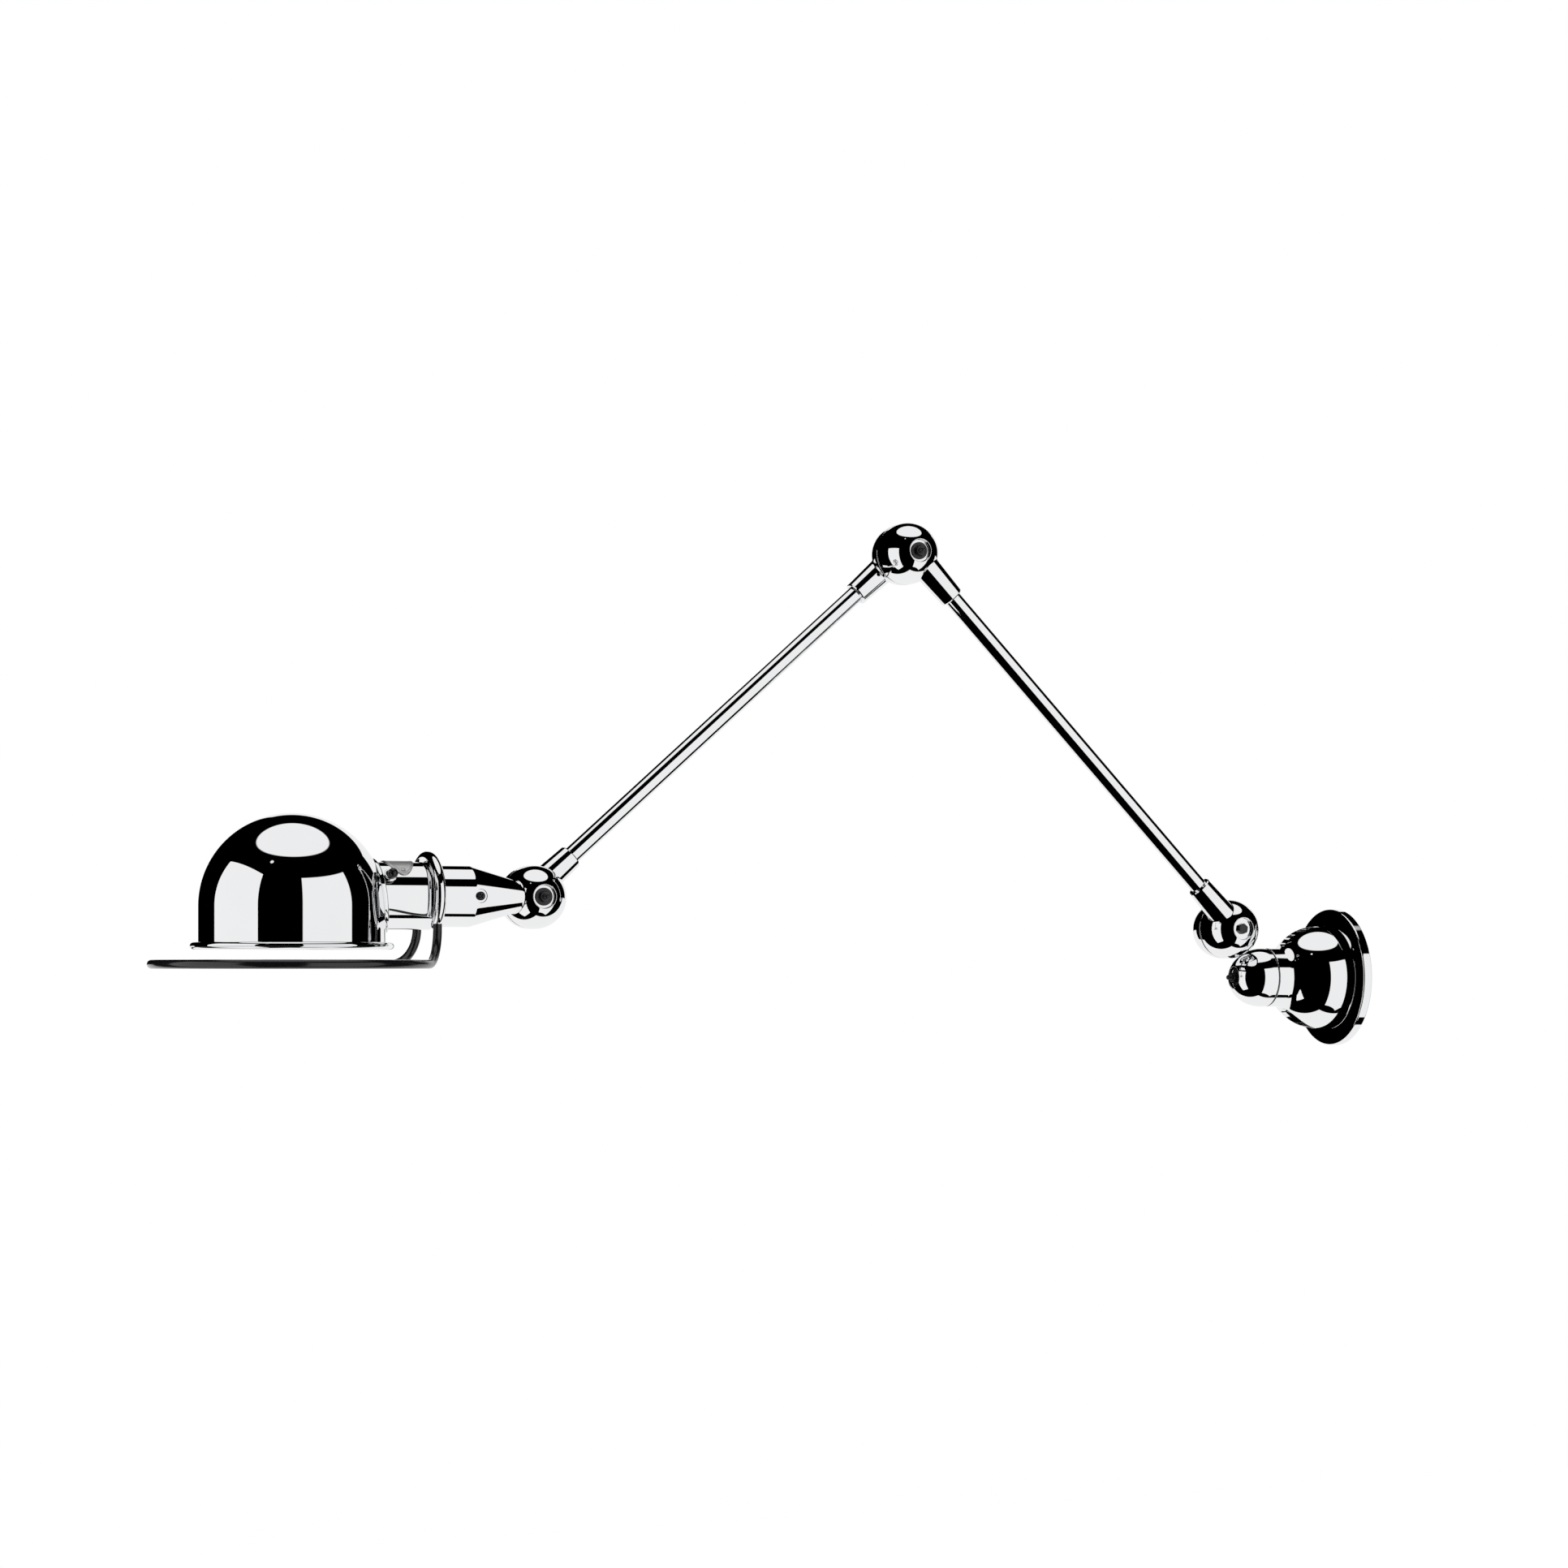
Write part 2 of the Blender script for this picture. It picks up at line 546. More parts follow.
lower = arm_direction(shoulder, elbow)
upper = arm_direction(elbow, wrist)
castings = [("lower_arm_foot", "lower_arm", shoulder, near, "lower_arm_tube", lower),
            ("lower_arm_top", "lower_arm", elbow, near, "lower_arm_tube", -lower),
            ("upper_arm_top", "upper_arm", elbow, far, "upper_arm_tube", upper),
            ("upper_arm_foot", "upper_arm", wrist, far, "upper_arm_tube", -upper)]
for node, body, at, axis, tube, along in castings:
    grids = [turned(joint_half(), at, axis, 224), sleeve(at, axis, axis_line(tube, at), along)]
    fitted(built(node + "_casting", grids), body, "chromed_metal", chrome, node)


# ---- Arm tubes ----
# Two straight chromed steel tubes, 10 mm across, pressed into the sleeves.
first, last = tube_start + 0.5, 282.5
tube_line = [(first, tube_in_r), (first, tube_r), (first + 1, tube_r)]
tube_line += [(x, tube_r) for x in range(30, 275, 12)]
tube_line += [(last - 1, tube_r), (last, tube_r), (last, tube_in_r), (first, tube_in_r)]
for node, body, start, along in (("lower_arm_tube", "lower_arm", shoulder, lower),
                                 ("upper_arm_tube", "upper_arm", elbow, upper)):
    tube = built(node + "_drawn", [turned(tube_line, axis_line(node, start), along, 96)])
    fitted(tube, body, "chromed_metal", chrome, node)


# ---- Knuckle ----
# One chromed casting that joins the bell to the lower arm: a joint half at each end of a short
# neck with a raised collar, cut away where the arm's own half turns past it.
neck_start = np.array([swivel[0] - 4, 0, 0])
neck_end = np.array([shoulder[0], 0, shoulder[2]])
neck_l = np.linalg.norm(neck_end - neck_start)
neck_way = (neck_end - neck_start) / neck_l
neck_r, collar_r, collar_half = 7.5, 9.1, 1.4


def neck_line(t):
    """The neck's radius, the same all the way."""
    return np.full_like(np.asarray(t, float), neck_r)


foot_rows, n, _ = rooted(swivel, out, neck_start, neck_way, neck_line, 1.2, 128)
head_rows, n2, _ = rooted(shoulder, far, neck_end, -neck_way, neck_line, 1.2, 128)
middle = neck_l / 2
collar = rounded([(middle - 2.6, neck_r), (middle - collar_half, neck_r), (middle - collar_half, collar_r),
                  (middle + collar_half, collar_r), (middle + collar_half, neck_r), (middle + 2.6, neck_r)],
                 [0.35, 0.7, 0.7, 0.35], 5)
collar_rows = neck_start + collar[:, 0, None, None] * neck_way + collar[:, 1, None, None] * n
neck_lower = np.concatenate([foot_rows, collar_rows,
                             np.broadcast_to(neck_start + (middle + 3) * neck_way, (1,) + n.shape)])
neck_upper = np.concatenate([head_rows, (neck_start + (middle + 1) * neck_way + neck_r * n2)[None],
                             np.broadcast_to(neck_start + middle * neck_way, (1,) + n2.shape)])
turn_r = joint_r + 1.2
clearance = built("clearance", [turned(rounded([(-0.4, 0), (-0.4, turn_r), (22, turn_r), (22, 0)], [0, 0]),
                                       shoulder, near, 128)])
neck_piece = without(built("neck", [neck_lower, neck_upper]), clearance)
knuckle = built("knuckle_casting", [turned(joint_half(), swivel, out, 224),
                                    turned(joint_half(), shoulder, far, 224)])
fitted(with_surface(knuckle, neck_piece), "knuckle", "chromed_metal", chrome, "double_knuckle")


# ---- Joint bolts, washers and nuts ----
# A 3 mm bolt of blackened steel clamps each joint: its hexagon head sits in one half's recess,
# a washer and a nut in the other's, and its rounded end stands out of the nut.
def hexagon(at, axis, low, high, flats, bore, turn_by, chamfer_low, chamfer_high, steps=144):
    """A hexagon nut or head. The radius at angle a is (flats / 2) / cos(a folded into 30 degrees), and a
    30 degree cone takes off the corners: z = top - (radius - flats / 2) tan 30."""
    axis, e1, e2 = square_to(axis)
    a = np.linspace(0, 2 * np.pi, steps, endpoint=False)
    ring = np.cos(a + turn_by)[:, None] * e1 + np.sin(a + turn_by)[:, None] * e2
    folded = (a + np.pi / 6) % (np.pi / 3) - np.pi / 6
    edge = flats / 2 / np.cos(folded)
    drop = (edge - flats / 2 * 0.97) * math.tan(math.radians(30))
    z_low, z_high = low + drop * chamfer_low, high - drop * chamfer_high
    face_r = flats / 2 * 0.97
    rows = [(low, bore), (low, face_r), (z_low, edge), (z_low + 0.04, edge), (z_high - 0.04, edge), (z_high, edge),
            (high, face_r), (high, bore), (low, bore)]
    rows = [(np.broadcast_to(z, steps), np.broadcast_to(r, steps)) for z, r in rows]
    return np.stack([np.asarray(at) + z[:, None] * axis + r[:, None] * ring for z, r in rows])


def threaded(at, axis, low, high, radius, pitch):
    """The bolt's thread: radius less a tooth that follows the helix, r = R - 0.3 pitch (1 - |saw|), where saw
    runs from -1 to 1 over each turn of z / pitch - a / 2 pi. A rounded end closes it."""
    axis, e1, e2 = square_to(axis)
    a = np.linspace(0, 2 * np.pi, 48, endpoint=False)
    ring = np.cos(a)[:, None] * e1 + np.sin(a)[:, None] * e2
    end_l = 0.9
    z = np.linspace(low, high - end_l, 70)[:, None]
    tooth = np.abs((z / pitch - a / (2 * np.pi)) % 1 - 0.5) * 2
    r = radius - 0.3 * pitch * (1 - tooth)
    r[0] = 0
    end = np.linspace(0, np.pi / 2, 8)
    cap_z, cap_r = high - end_l + end_l * np.sin(end), (radius - 0.12) * np.cos(end)
    body = np.asarray(at) + z[..., None] * axis + r[..., None] * ring
    return np.concatenate([body, np.asarray(at) + cap_z[:, None, None] * axis + cap_r[:, None, None] * ring])


bolt_r, flats, head_h, washer_z, washer_top, nut_top, tip = 1.5, 5.5, 2.2, 19.3, 20.1, 22.5, 26.2


def bolt(at, axis, head_z):
    """A hexagon head below head_z, a plain shank and a threaded end."""
    shank = turned([(head_z - 0.2, 0), (head_z - 0.2, bolt_r), (20, bolt_r), (20, 0)], at, axis, 48)
    head_part = hexagon(at, axis, head_z - head_h, head_z, flats, 0, 0.3, 1, 0)
    return [shank, head_part, threaded(at, axis, 19.5, tip, bolt_r, 0.5)]


def washer(at, axis):
    """A flat ring with its edges rounded."""
    line = rounded([(washer_z, 3), (washer_z, 1.55), (washer_top, 1.55), (washer_top, 4.9), (washer_z, 4.9),
                    (washer_z, 3)], [0.1, 0.1, 0.22, 0.15], 4)
    return [turned(line, at, axis, 96)]


def nut(at, axis, turn_by):
    """A hexagon nut on the washer, chamfered on both faces."""
    return [hexagon(at, axis, washer_top, nut_top, flats, 1.4, turn_by, 1, 1)]


for piece_name, grids, body, node in (
        ("swivel_bolt_steel", bolt(swivel, out, -16.8), "wall_base", "swivel_bolt"),
        ("swivel_washer_steel", washer(swivel, out), "wall_base", "swivel_washer"),
        ("swivel_nut_steel", nut(swivel, out, 0.2), "wall_base", "swivel_bolt_nut"),
        ("shoulder_bolt_steel", bolt(shoulder, far, -recess_floor), "lower_arm", "shoulder_bolt"),
        ("shoulder_washer_steel", washer(shoulder, far), "lower_arm", "shoulder_washer"),
        ("shoulder_nut_steel", nut(shoulder, far, 0.6), "lower_arm", "shoulder_nut"),
        ("arm_bolts_steel", bolt(elbow, near, -recess_floor) + bolt(wrist, near, -recess_floor),
         "upper_arm", "arm_bolts"),
        ("arm_washers_steel", washer(elbow, near) + washer(wrist, near), "upper_arm", "arm_washers"),
        ("arm_nuts_steel", nut(elbow, near, 0.1) + nut(wrist, near, 0.7), "upper_arm", "arm_nuts")):
    fitted(built(piece_name, grids, 25), body, "blackened_steel", blackened, node)


# ---- Tail ----
# A turned chromed casting behind the shade: the last joint's near half and a cone that widens to a
# short barrel, open at its end. A small screw in a round spot-face locks the pipe.
pipe_low, pipe_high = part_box("swivel_pipe")
head = np.array([wrist[0], (pipe_low[1] + pipe_high[1]) * 500, wrist[2]])
cone_end, cone_small, tail_r, tail_in_r, tail_end, pipe_hole_r = 40.5, 8.6, 16.7, 14.2, 62, 5.05
tail_web = tail_end - 8


def cone_line(t):
    """The cone's radius, from 8.6 mm at 13 mm from the last joint to the barrel's at the cone's end."""
    return cone_small + (np.asarray(t) - 13) * (tail_r - cone_small) / (cone_end - 13)


cone_rows, n, t = rooted(wrist, near, head, out, cone_line, 1.2, 192)
s = np.linspace(0.03, 1, 14)[:, None]
reach_t = t + (cone_end - 2 - t) * s
cone_body = head + reach_t[..., None] * np.array(out) + cone_line(reach_t)[..., None] * n
barrel = rounded([(cone_end - 1.5, cone_line(cone_end - 1.5)), (cone_end, tail_r), (tail_end, tail_r),
                  (tail_end, tail_in_r), (tail_web, tail_in_r), (tail_web, 0)], [2.5, 0.4, 0.3, 0], 10)
barrel = head + barrel[1:, 0, None, None] * np.array(out) + barrel[1:, 1, None, None] * n
tail = built("tail_cone", [np.concatenate([cone_rows, cone_body, barrel])])
screw_x, spot_z, spot_r = 38, 14.4, 3.8
screw_at = head + screw_x * np.array(out)
spot_line = rounded([(spot_z, 0), (spot_z, spot_r), (26, spot_r), (26, 0)], [0.3, 0])
tail = without(tail, built("spot", [turned(spot_line, screw_at, near, 96)]))
tail = with_surface(tail, built("tail_half", [turned(joint_half(), wrist, near, 224)]))
fitted(tail, "tail", "chromed_metal", chrome, "head_tail")
tail_screw = cross_screw(screw_at + spot_z * np.array(near), near, head_r=2.4, head_h=1.5, shank_r=1.45,
                         shank_l=7.9, slot_w=0.6, slot_l=2.8)
fitted(built("tail_screw_steel", [tail_screw], 40), "tail", "blackened_steel", blackened, "tail_screw")


# ---- Shade ----
# A dome of spun steel, chromed outside and satin inside. Its edge is rolled outwards into a
# round bead, and a hole in its side lets the lampholder through.
shade_off, shade_r, shade_wall, dome_z, shade_drop, rim_w, rim_h = 138.3, 49.6, 1, -5.9, 29, 4.4, 3.9
bead_r = rim_h / 2
shade_at = head + np.array([-shade_off, 0, 0])
outer_a = np.linspace(np.pi / 2, 0, 72)
dome_line = np.stack([dome_z + shade_r * np.sin(outer_a), shade_r * np.cos(outer_a)], 1)
roll = np.radians(np.linspace(158, -90, 40))
bead = np.stack([bead_r - shade_drop + bead_r * np.sin(roll), shade_r + rim_w - bead_r + bead_r * np.cos(roll)], 1)
shade_in_r = shade_r - shade_wall
edge = np.concatenate([[(-24.9, shade_r), (-25.5, shade_r + 0.04), (-26.1, shade_r + 0.2)], bead,
                       [(-28.7, shade_r - 0.1), (-28.1, shade_r - 0.7), (-27.2, shade_in_r)]])
within_a = np.linspace(0, np.pi / 2, 60)
within = np.stack([dome_z + shade_in_r * np.sin(within_a), shade_in_r * np.cos(within_a)], 1)
down_steps = np.stack([np.linspace(dome_z - 2, -24, 6), np.full(6, shade_r)], 1)
shade_line = np.concatenate([dome_line, down_steps, edge, within])
shade = built("shade_spun", [turned(shade_line, shade_at, (0, 0, 1), 256)])
way_line = [(-60, 0), (-60, tail_r), (0, tail_r), (0, 0)]
way_through = built("way_through", [turned(way_line, shade_at, (-1, 0, 0), 128)])
shade = without(shade, way_through)
satin = steel_finish("satin_reflector", (0.72, 0.72, 0.73), 0.3, 1.0, 220)
shade.data.materials.append(chrome)
shade.data.materials.append(satin)
spots = np.empty(len(shade.data.polygons) * 3, np.float32)
shade.data.polygons.foreach_get("center", spots)
spots = spots.reshape(-1, 3) * 1000 - shade_at
radius = np.where(spots[:, 2] > dome_z, np.linalg.norm(spots - [0, 0, dome_z], axis=1),
                  np.linalg.norm(spots[:, :2], axis=1))
shade.data.polygons.foreach_set("material_index", (radius < shade_r - shade_wall / 2).astype(np.int32))
fitted(shade, "shade_head", "chromed_metal", chrome, "shade")


# ---- Housing ----
# A chromed tube that holds the lampholder. One end is closed round the pipe that it rolls on,
# and the other is cut to the shade's curve.
housing_r, housing_wall, housing_start = 18.3, 1.6, tail_end + 0.3


def to_shade(y, z, grown=0.0):
    """Where a line along X at (y, z) meets the shade grown by a distance: x = shade_off less the root of
    (shade_r + grown) squared - y squared - max(0, z - dome_z) squared."""
    return shade_off - np.sqrt((shade_r + grown) ** 2 - y ** 2 - np.maximum(z - dome_z, 0) ** 2)


around = np.linspace(0, 2 * np.pi, 224, endpoint=False)
cos_a, sin_a = np.cos(around), np.sin(around)


def about_head(x, r):
    """Rings about the head's axis: a distance along it and a radius for every angle."""
    x, r = np.broadcast_to(x, cos_a.shape), np.broadcast_to(r, cos_a.shape)
    return head + np.stack([-x, r * cos_a, r * sin_a], -1)


floor_at = housing_start + 3
front_edge = rounded([(floor_at, pipe_hole_r), (housing_start, pipe_hole_r), (housing_start, housing_r),
                      (housing_start + 2, housing_r)], [0.2, 0.8], 8)
rows = [about_head(x, r) for x, r in front_edge]
cut_end = to_shade(housing_r * cos_a, housing_r * sin_a)
rows += [about_head(housing_start + 2 + (cut_end - housing_start - 2) * s, housing_r)
         for s in np.linspace(0.05, 1, 16)]
inner_r = housing_r - housing_wall
cut_in = to_shade(inner_r * cos_a, inner_r * sin_a, -shade_wall)
rows += [about_head(cut_in + (floor_at - cut_in) * s, inner_r) for s in np.linspace(0, 1, 8)]
rows += [about_head(floor_at, pipe_hole_r)]
housing = built("housing_tube", [np.stack(rows)])
lever_off, lever_rise = 88.5, math.radians(36)
lever_way = np.array([0, -math.cos(lever_rise), math.sin(lever_rise)])
lever_at = head + np.array([-lever_off, 0, 0])
bush_hole_r = 2.6
hole = built("hole", [turned([(14, 0), (14, bush_hole_r), (22, bush_hole_r), (22, 0)], lever_at, lever_way, 64)])
fitted(without(housing, hole), "shade_head", "chromed_metal", chrome, "housing")


# ---- Saddle ----
# A thin chromed collar dished to the shade's curve, round the foot of the housing.
saddle_r, saddle_t = 20.4, 1.6
saddle_in_r, saddle_base = housing_r + 0.05, 0.02
saddle_line = [(saddle_in_r, saddle_base), (saddle_in_r, saddle_t - 0.2), (saddle_in_r + 0.1, saddle_t),
               (19.2, saddle_t), (19.9, saddle_t), (20.2, saddle_t - 0.1), (20.34, saddle_t - 0.25),
               (saddle_r, saddle_t - 0.5), (saddle_r, 0.5), (saddle_r, saddle_base), (saddle_in_r, saddle_base)]
rows = [about_head(to_shade(r * cos_a, r * sin_a, g), r) for r, g in saddle_line]
fitted(built("saddle_ring", [np.stack(rows)]), "shade_head", "chromed_metal", chrome, "saddle")


# ---- Guard ----
# A chromed hoop, bent over the housing, with the ends of a black coated steel rod in its two
# open ends. The rod runs down, bends level and closes in a ring under the shade.
def swept(points, ways, level, radius, steps=24):
    """A round rod along a path: each ring is cos v times its level side plus sin v times way x side."""
    points, ways, level = np.asarray(points), np.asarray(ways), np.asarray(level)
    v = np.linspace(0, 2 * np.pi, steps, endpoint=False)[None, :, None]
    third = np.cross(ways, level)
    radius = np.broadcast_to(radius, len(points))[:, None, None]
    return points[:, None] + radius * (np.cos(v) * level[:, None] + np.sin(v) * third[:, None])


hoop_r, hoop_off, rod_r = 3, 63.6, 2.4
top_r, hoop_flat, hoop_gap = housing_r + hoop_r + 0.05, 2.35, 3.2
side_r, side_y = top_r - hoop_flat, hoop_gap + hoop_flat
top_z = -(side_y ** 2 - hoop_flat ** 2) / (2 * hoop_flat)
join, hoop_end = math.atan2(-top_z, side_y), math.radians(58)
bend = np.concatenate([np.linspace(-hoop_end, join, 60)[:-1], np.linspace(join, np.pi - join, 60),
                       np.linspace(np.pi - join, np.pi + hoop_end, 60)[1:]])
hand = np.where(bend < join, 1, np.where(bend > np.pi - join, -1, 0))
arc_r = np.where(hand == 0, top_r - top_z, side_r)
hoop_path = np.stack([0 * bend, hand * side_y + arc_r * np.cos(bend),
                      np.where(hand == 0, top_z, 0) + arc_r * np.sin(bend)], 1)
hoop_way = np.stack([0 * bend, -np.sin(bend), np.cos(bend)], 1)
lead_in = np.array([(0, 0), (0, hoop_r - 0.35), (0.1, hoop_r - 0.1), (0.35, hoop_r)])
first_end = hoop_path[0] + lead_in[:, :1] * hoop_way[0]
last_end = hoop_path[-1] - lead_in[::-1, :1] * hoop_way[-1]
thick = np.concatenate([lead_in[:, 1], np.full(len(bend) - 6, float(hoop_r)), lead_in[::-1, 1]])
hoop_path = np.concatenate([first_end, hoop_path[3:-3], last_end])
hoop_way = np.concatenate([np.tile(hoop_way[0], (4, 1)), hoop_way[3:-3], np.tile(hoop_way[-1], (4, 1))])
hoop_at = head + np.array([-hoop_off, 0, 0])
hoop = built("guard_hoop_bent", [hoop_at + swept(hoop_path, hoop_way, np.tile([1.0, 0, 0], (len(hoop_path), 1)),
                                                 thick, 44)])
socket_turn, socket_r = math.radians(45), rod_r + 0.05
leg_y, leg_top = side_y + side_r * math.cos(socket_turn), 1 - side_r * math.sin(socket_turn)
socket_line = [(leg_top - 12, 0), (leg_top - 12, socket_r), (leg_top, socket_r), (leg_top, 0)]
sockets = [built("socket", [turned(socket_line, head + np.array([-hoop_off, s * leg_y, 0]), (0, 0, 1), 64)])
           for s in (-1, 1)]
fitted(without(hoop, *sockets), "shade_head", "chromed_metal", chrome, "guard_hoop")

# The level bend leaves each leg where a line touching the ring meets it
ring_r, ring_drop, bend_r = 74, 36.8, 19
low, high = 0.3, 1.1
for _ in range(50):
    leave = (low + high) / 2
    gap = (shade_off - ring_r * math.cos(leave)) - (ring_r * math.sin(leave) - leg_y) * math.tan(leave) - hoop_off
    low, high = (leave, high) if gap > 0 else (low, leave)
along = np.array([-math.sin(leave), math.cos(leave), 0])
foot = np.array([-hoop_off, leg_y, -ring_drop])
a = np.linspace(0, np.pi / 2, 20)[:, None]
up = np.array([0, 0, 1.0])
leg_z = np.linspace(leg_top - 0.2, -ring_drop + bend_r + 0.5, 6)
leg_pts = np.concatenate([np.stack([0 * leg_z - hoop_off, 0 * leg_z + leg_y, leg_z], 1),
                          foot + bend_r * ((1 - np.cos(a)) * along + (1 - np.sin(a)) * up)])
leg_way = np.concatenate([np.tile(-up, (6, 1)), along * np.sin(a) - up * np.cos(a)])
side_way = np.array([math.cos(leave), math.sin(leave), 0])
leg_side = np.tile(side_way, (len(leg_pts), 1))
ring_a = np.linspace(leave, 2 * np.pi - leave, 200)
ring_pts = np.stack([-shade_off + ring_r * np.cos(ring_a), ring_r * np.sin(ring_a), 0 * ring_a - ring_drop], 1)
ring_way = np.stack([-np.sin(ring_a), np.cos(ring_a), 0 * ring_a], 1)
ring_side = np.stack([np.cos(ring_a), np.sin(ring_a), 0 * ring_a], 1)
mirror = np.array([1, -1, 1])
pts = np.concatenate([leg_pts, ring_pts, leg_pts[::-1] * mirror])
way = np.concatenate([leg_way, ring_way, -leg_way[::-1] * mirror])
level = np.concatenate([leg_side, ring_side, leg_side[::-1] * mirror])
rod = swept(pts, way, level, rod_r, 28)
rod = np.concatenate([np.broadcast_to(pts[0], (1, 28, 3)), rod, np.broadcast_to(pts[-1], (1, 28, 3))])
coating = steel_finish("black_coating", (0.012, 0.012, 0.014), 0.16, 0.0, 700)
shader = coating.node_tree.nodes["Principled BSDF"]
shader.inputs["Coat Weight"].default_value = 0.3
shader.inputs["Coat Roughness"].default_value = 0.12
fitted(built("guard_rod", [head + rod]), "shade_head", "black_coating", coating, "guard_ring")


# ---- Maker's plate ----
# A blank oval of brushed aluminium with a raised border, bent over the housing and held by a
# small rivet near each tip.
name_off, half_w, half_l, name_t = 80.8, 8.2, 15, 0.6
rho = np.concatenate([np.linspace(0, 0.8, 14), np.linspace(0.82, 0.98, 14), [0.99, 1.0]])
rho, a = np.meshgrid(rho, np.linspace(0, 2 * np.pi, 144, endpoint=False), indexing="ij")
x = name_off + half_w * rho * np.cos(a)
over = np.arcsin(half_l * rho * np.sin(a) / housing_r)
border = np.clip(1 - np.abs((rho - 0.9) / 0.035), 0, 1)
thick = 0.05 + (name_t - 0.1) * np.clip((1.0 - rho) / 0.015, 0, 1) ** 0.5
thick = thick + 0.13 * border ** 2 * (3 - 2 * border)
top = head + np.stack([-x, -(housing_r + thick) * np.sin(over), (housing_r + thick) * np.cos(over)], -1)
under = head + np.stack([-x, -(housing_r + 0.03) * np.sin(over), (housing_r + 0.03) * np.cos(over)], -1)
brushed = bpy.data.materials.new("brushed_aluminium")
brushed.use_nodes = True
nodes, links = brushed.node_tree.nodes, brushed.node_tree.links
shader = nodes["Principled BSDF"]
shader.inputs["Metallic"].default_value = 0.9
place = nodes.new("ShaderNodeTexCoord")
stretch = nodes.new("ShaderNodeMapping")
stretch.inputs["Scale"].default_value = (120, 2600, 2600)
streak = nodes.new("ShaderNodeTexNoise")
streak.inputs["Scale"].default_value = 1.0
streak.inputs["Detail"].default_value = 6
links.new(place.outputs["Object"], stretch.inputs["Vector"])
links.new(stretch.outputs[0], streak.inputs["Vector"])
tint = nodes.new("ShaderNodeValToRGB")
tint.color_ramp.elements[0].position, tint.color_ramp.elements[1].position = 0.25, 0.75
tint.color_ramp.elements[0].color = (0.5, 0.5, 0.5, 1)
tint.color_ramp.elements[1].color = (0.86, 0.86, 0.85, 1)
links.new(streak.outputs["Fac"], tint.inputs[0])
links.new(tint.outputs[0], shader.inputs["Base Color"])
shader.inputs["Roughness"].default_value = 0.42
bump = nodes.new("ShaderNodeBump")
bump.inputs["Strength"].default_value = 0.3
bump.inputs["Distance"].default_value = 0.00003
links.new(streak.outputs["Fac"], bump.inputs["Height"])
links.new(bump.outputs[0], shader.inputs["Normal"])
fitted(built("maker_plate", [np.concatenate([top, under[::-1]])], 45),
       "shade_head", "plate_aluminium", brushed, "nameplate")
rivet_foot, rivet_rise, rivet_r = housing_r + 0.45, 0.42, 1.2
rivet_line = np.array([(rivet_foot, 0), (rivet_foot, rivet_r - 0.05)]
                      + [(rivet_foot + 0.15 + rivet_rise * math.sin(b), rivet_r * math.cos(b))
                         for b in np.linspace(0, np.pi / 2, 9)])
rivet_grids = []
for s in (-1, 1):
    tip = s * math.asin((half_l - 2.4) / housing_r)
    rise = np.array([0, -math.sin(tip), math.cos(tip)])
    rivet_grids.append(turned(rivet_line, head + np.array([-name_off, 0, 0]), rise, 48))
fitted(built("maker_plate_rivets", rivet_grids, 40), "shade_head", "plate_aluminium", brushed, "nameplate_rivets")


# ---- Switch ----
# A toggle switch under the housing's wall: its chromed bush clamps it in a hole, and a black
# lever with a ball end stands out of the bush.
bush_foot, bush_top, bush_r = 17.9, 19.4, 3.6
bush = rounded([(bush_foot, bush_hole_r), (bush_top, bush_hole_r), (bush_top, bush_r), (bush_foot, bush_r),
                (bush_foot, bush_hole_r)], [0.25, 0.45, 0.1], 5)
fitted(built("switch_bush", [turned(bush, lever_at, lever_way, 96)]),
       "shade_head", "chromed_metal", chrome, "switch_bushing")
pivot = lever_at + 15.2 * lever_way
lean = lever_rise - math.radians(15)
stem = np.array([0, -math.cos(lean), math.sin(lean)])
ball_r, stem_l, stem_r = 2.7, 8, 1.05
ball_a = np.linspace(-np.pi / 2 + 0.42, np.pi / 2, 32)
stem_line = np.concatenate([[(-1.5, 0), (-1.2, 0.9), (0, 1.4), (1.1, stem_r)],
                            [(x, stem_r) for x in np.linspace(1.6, 5.2, 6)],
                            np.stack([stem_l + ball_r * np.sin(ball_a), ball_r * np.cos(ball_a)], 1)])
plastic = steel_finish("black_lever", (0.008, 0.008, 0.009), 0.1, 0.0, 500)
fitted(built("switch_lever_ball", [turned(stem_line, pivot, stem, 72)], 50),
       "switch", "black_plastic", plastic, "switch_lever")


# ---- Lamp ----
# A small ball bulb of frosted glass with a screw cap, in a glazed ceramic lampholder.
mouth_x, cap_r, globe_r, globe_x = 92, 6.8, 22.5, 121.5
neck_a = math.asin((cap_r - 0.4) / globe_r)
a = np.linspace(-np.pi / 2 + neck_a + 0.12, np.pi / 2, 64)
globe_line = np.stack([globe_x + globe_r * np.sin(a), globe_r * np.cos(a)], 1)
neck_part = rounded([(mouth_x + 3.5, 0), (mouth_x + 3.5, 6.3), (mouth_x + 6.2, 6.5), globe_line[0]], [0.2, 3], 5)
glass_line = np.concatenate([neck_part, globe_line[1:]])
frosted = bpy.data.materials.new("frosted_glass")
frosted.use_nodes = True
nodes, links = frosted.node_tree.nodes, frosted.node_tree.links
shader = nodes["Principled BSDF"]
place = nodes.new("ShaderNodeTexCoord")
cloud = nodes.new("ShaderNodeTexNoise")
cloud.inputs["Scale"].default_value = 90
links.new(place.outputs["Object"], cloud.inputs["Vector"])
tint = nodes.new("ShaderNodeValToRGB")
tint.color_ramp.elements[0].color = (0.84, 0.84, 0.81, 1)
tint.color_ramp.elements[1].color = (0.94, 0.94, 0.91, 1)
links.new(cloud.outputs["Fac"], tint.inputs[0])
links.new(tint.outputs[0], shader.inputs["Base Color"])
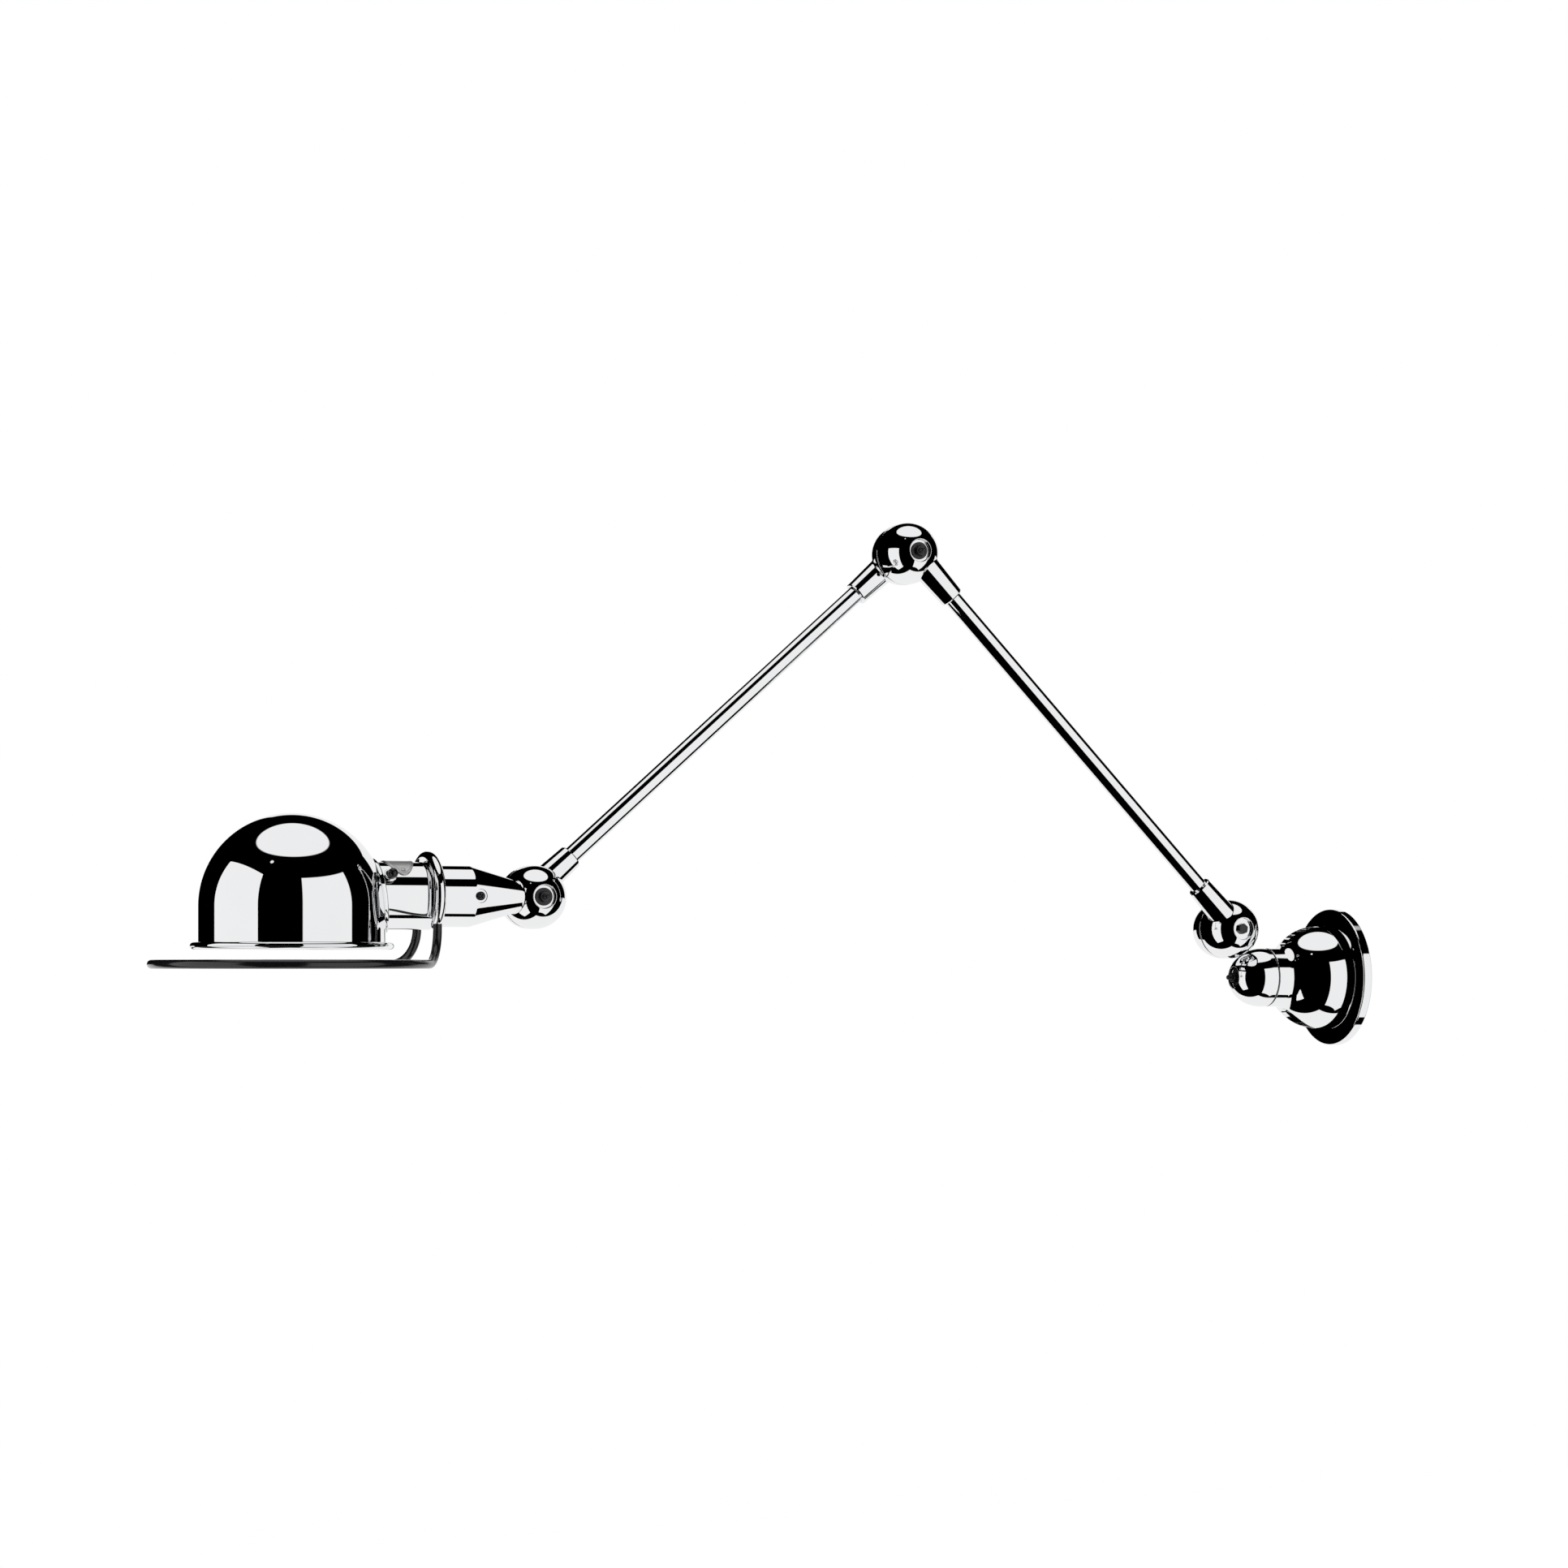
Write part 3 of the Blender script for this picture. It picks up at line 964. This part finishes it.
shader.inputs["Roughness"].default_value = 0.35
shader.inputs["Subsurface Weight"].default_value = 0.3
shader.inputs["Subsurface Radius"].default_value = (0.004, 0.004, 0.004)
fitted(built("bulb_globe", [turned(glass_line, head, out, 128)], 60),
       "shade_head", "frosted_glass", frosted, "bulb_glass")
along_cap = np.linspace(mouth_x - 17, mouth_x + 1, 90)[:, None]
turn_a = np.linspace(0, 2 * np.pi, 72, endpoint=False)[None]
thread_pitch, thread_h = 2.8, 0.42
thread_r = cap_r - 0.45 + thread_h * np.sin(2 * np.pi * along_cap / thread_pitch - turn_a)
ring_y, ring_z = np.cos(turn_a), np.sin(turn_a)
thread = head + np.stack([np.broadcast_to(-along_cap, thread_r.shape), thread_r * ring_y, thread_r * ring_z], -1)


def cap_ring(x, r):
    """One plain ring of the cap, at a distance along the head's axis."""
    return head + np.stack([np.full(72, -float(x)), r * ring_y[0], r * ring_z[0]], -1)[None]


cap = np.concatenate([cap_ring(mouth_x - 18, 0), cap_ring(mouth_x - 18, 3.4), thread, cap_ring(mouth_x + 1.6, 6.6),
                      cap_ring(mouth_x + 4, 6.75), cap_ring(mouth_x + 4, 6.1), cap_ring(mouth_x + 3.4, 0)])
cap_metal = steel_finish("cap_metal", (0.68, 0.68, 0.66), 0.3, 1.0, 300)
fitted(built("bulb_cap_threaded", [cap]), "shade_head", "cap_metal", cap_metal, "bulb_cap")
holder_x, wire_hole_r, flange_r, holder_r, shell_r = tail_end + 8.3, 2.2, inner_r - 0.05, 13.4, 7.7
holder_line = rounded([(holder_x, wire_hole_r), (holder_x, flange_r), (holder_x + 2.5, flange_r),
                       (holder_x + 2.5, holder_r), (mouth_x, holder_r), (mouth_x, shell_r),
                       (holder_x + 1.5, shell_r), (holder_x + 1.5, wire_hole_r), (holder_x, wire_hole_r)],
                      [0.3, 0.3, 0.8, 1.2, 0.6, 0, 0], 6)
glaze = steel_finish("glazed_ceramic", (0.8, 0.79, 0.74), 0.15, 0.0, 120)
fitted(built("lampholder_glazed", [turned(holder_line, head, out, 128)]),
       "shade_head", "ceramic", glaze, "lampholder")


# ---- Inner parts ----
# The bracket is zinc-plated steel, the terminal block is nylon, the contact discs are brown
# phenolic with brass rings and studs, and the wires have red rubber insulation.
inner_finishes = {"zinc_steel": steel_finish("zinc_plate", (0.55, 0.56, 0.55), 0.35, 1.0, 150),
                  "ring_steel": steel_finish("ring_steel", (0.12, 0.12, 0.125), 0.35, 1.0, 300),
                  "white_nylon": steel_finish("nylon", (0.75, 0.75, 0.7), 0.5, 0.0, 200),
                  "phenolic_disc": steel_finish("phenolic", (0.2, 0.09, 0.04), 0.45, 0.0, 260),
                  "contact_brass": steel_finish("brass", (0.72, 0.5, 0.2), 0.25, 1.0, 200),
                  "wire_insulation": steel_finish("insulation", (0.3, 0.03, 0.02), 0.55, 0.0, 300),
                  "chromed_metal": chrome}
slots = {s["node"]: s["material_slot"] for s in frame["record"]["subparts"]}
for node, piece in frame["nodes"].items():
    for holder in piece.material_slots:
        if slots[node] in inner_finishes:
            holder.material = inner_finishes[slots[node]]
